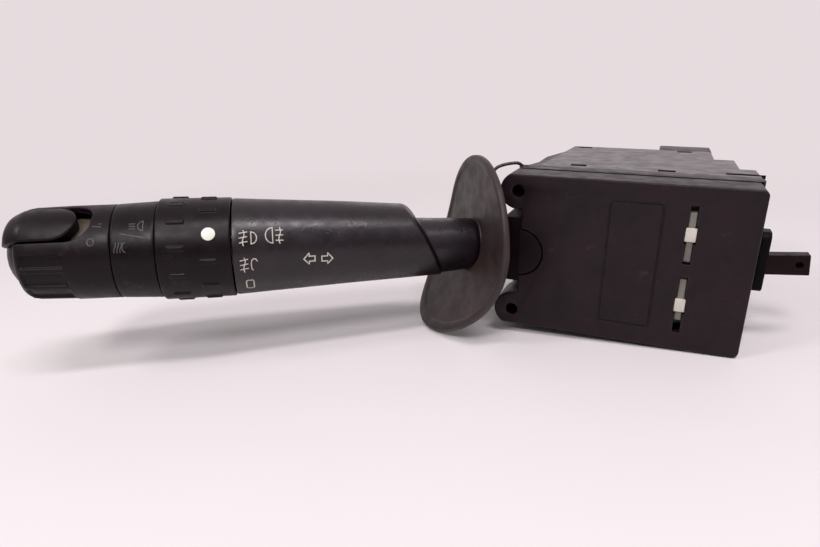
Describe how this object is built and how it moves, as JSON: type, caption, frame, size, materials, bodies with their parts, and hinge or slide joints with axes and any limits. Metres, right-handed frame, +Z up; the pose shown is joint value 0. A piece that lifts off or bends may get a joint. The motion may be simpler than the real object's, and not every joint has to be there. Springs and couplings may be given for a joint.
{
  "type": "combination stalk switch",
  "caption": "Steering-column stalk switch: boxed switch body with fixing ears, a leaning indicator lever through a curled shroud, rotary light and fog-lamp rings, and a horn push in the tip.",
  "frame": {"origin": "midway between the two fixing holes, on the front face of the switch box", "axes": "+X along the box to the cancelling finger, +Y back into the box, +Z up; the stalk leans out to -X and -Y"},
  "size_m": [0.1904, 0.1586, 0.0519],
  "materials": {
    "cover_plastic": "fine-grained brown-black moulding",
    "housing_plastic": "plain black moulding",
    "handle_plastic": "satin black with wear",
    "shroud_plastic": "soft matt grey-black",
    "white_nylon": "natural nylon",
    "sleeve_plastic": "khaki moulding",
    "ivory_mark": "inlaid dot",
    "board": "brown laminate",
    "brass": "stamped strip",
    "steel": "bright steel",
    "spring_steel": "drawn wire",
    "lead_sheath": "smooth black sheath",
    "grommet_rubber": "moulded rubber"
  },
  "bodies": {
    "switch_box": {"front_cover": "cover_plastic", "main_housing": "housing_plastic", "top_panel": "housing_plastic", "connector_shroud": "housing_plastic", "connector_blades": "brass", "terminal_block": "housing_plastic", "contact_board": "board", "contact_strips": "brass", "flash_leaf": "brass", "detent_track": "white_nylon", "finger_pin": "steel", "finger_spring": "spring_steel", "pawl_guide": "white_nylon", "upper_pawl_spring": "spring_steel", "lower_pawl_spring": "spring_steel", "stalk_lead": "lead_sheath", "lead_grommet": "grommet_rubber"},
    "indicator_carrier": {"indicator_carrier": "housing_plastic", "lever_pin": "steel", "carrier_pin": "steel"},
    "lever": {"lever_arm": "handle_plastic", "shroud": "shroud_plastic", "handle_shell": "handle_plastic", "spine_tube": "steel", "handle_end_plate": "housing_plastic", "fog_contacts": "brass", "legend_ring": "handle_plastic", "light_contact_plate": "board", "spine_clip": "spring_steel", "horn_contact": "brass", "detent_spring": "spring_steel"},
    "fog_ring": {"fog_ring": "handle_plastic", "fog_dot": "ivory_mark", "fog_wiper": "brass"},
    "light_knob": {"light_knob": "handle_plastic", "light_wiper": "brass", "horn_spring": "spring_steel", "horn_sleeve": "sleeve_plastic"},
    "horn_button": {"horn_button": "handle_plastic"},
    "detent_plunger": {"detent_plunger": "steel"},
    "cancel_finger": {"cancel_finger": "housing_plastic"},
    "upper_pawl": {"upper_pawl": "white_nylon"},
    "lower_pawl": {"lower_pawl": "white_nylon"},
    "indicator_slider": {"indicator_slider": "white_nylon", "indicator_contacts": "brass"},
    "flash_rod": {"flash_rod": "white_nylon"}
  },
  "joints": [
    {"name": "indicator_swing", "type": "hinge", "parent": "switch_box", "child": "indicator_carrier", "pos_m": [0.001, 0.0158, 0], "axis": [0, 1, 0], "range_deg": [-6.5, 6.5], "deforming": ["stalk_lead"]},
    {"name": "lever_pull", "type": "hinge", "parent": "indicator_carrier", "child": "lever", "pos_m": [0.001, 0.0158, 0], "axis": [0, 0, 1], "range_deg": [0, 4.5], "stiffness_Nm_per_rad": 1.5, "springref_deg": -1.72},
    {"name": "fog_turn", "type": "hinge", "parent": "lever", "child": "fog_ring", "pos_m": [0.00102, 0.01581, 0.0011], "axis": [-0.8133, -0.5814, 0.0229], "range_deg": [-54, 0]},
    {"name": "light_turn", "type": "hinge", "parent": "lever", "child": "light_knob", "pos_m": [0.00102, 0.01581, 0.0011], "axis": [-0.8133, -0.5814, 0.0229], "range_deg": [-56, 0]},
    {"name": "horn_press", "type": "slide", "parent": "light_knob", "child": "horn_button", "axis": [0.8133, 0.5814, -0.0229], "range_m": [0, 0.0025], "stiffness_N_per_m": 600, "springref_m": -0.002, "deforming": ["horn_spring"]},
    {"name": "detent_press", "type": "slide", "parent": "lever", "child": "detent_plunger", "axis": [-0.8133, -0.5814, 0.0229], "range_m": [0, 0.001], "stiffness_N_per_m": 800, "springref_m": -0.001, "deforming": ["detent_spring"]},
    {"name": "finger_swing", "type": "hinge", "parent": "switch_box", "child": "cancel_finger", "pos_m": [0.05, 0.0158, 0], "axis": [0, 1, 0], "range_deg": [-7, 7], "stiffness_Nm_per_rad": 0.06, "deforming": ["finger_spring"]},
    {"name": "upper_pawl_slide", "type": "slide", "parent": "switch_box", "child": "upper_pawl", "axis": [0, 0, 1], "range_m": [0, 0.002], "stiffness_N_per_m": 250, "springref_m": -0.001, "deforming": ["upper_pawl_spring"]},
    {"name": "lower_pawl_slide", "type": "slide", "parent": "switch_box", "child": "lower_pawl", "axis": [0, 0, -1], "range_m": [0, 0.002], "stiffness_N_per_m": 250, "springref_m": -0.001, "deforming": ["lower_pawl_spring"]},
    {"name": "slider_travel", "type": "slide", "parent": "switch_box", "child": "indicator_slider", "axis": [0, 0, 1], "range_m": [-0.0014, 0.0014]},
    {"name": "flash_travel", "type": "slide", "parent": "switch_box", "child": "flash_rod", "axis": [0, 1, 0], "range_m": [0, 0.0007]}
  ],
  "couplings": [
    {"joint": "slider_travel", "follows": "indicator_swing", "m_per_rad": -0.012},
    {"joint": "flash_travel", "follows": "lever_pull", "m_per_rad": 0.0086}
  ]
}
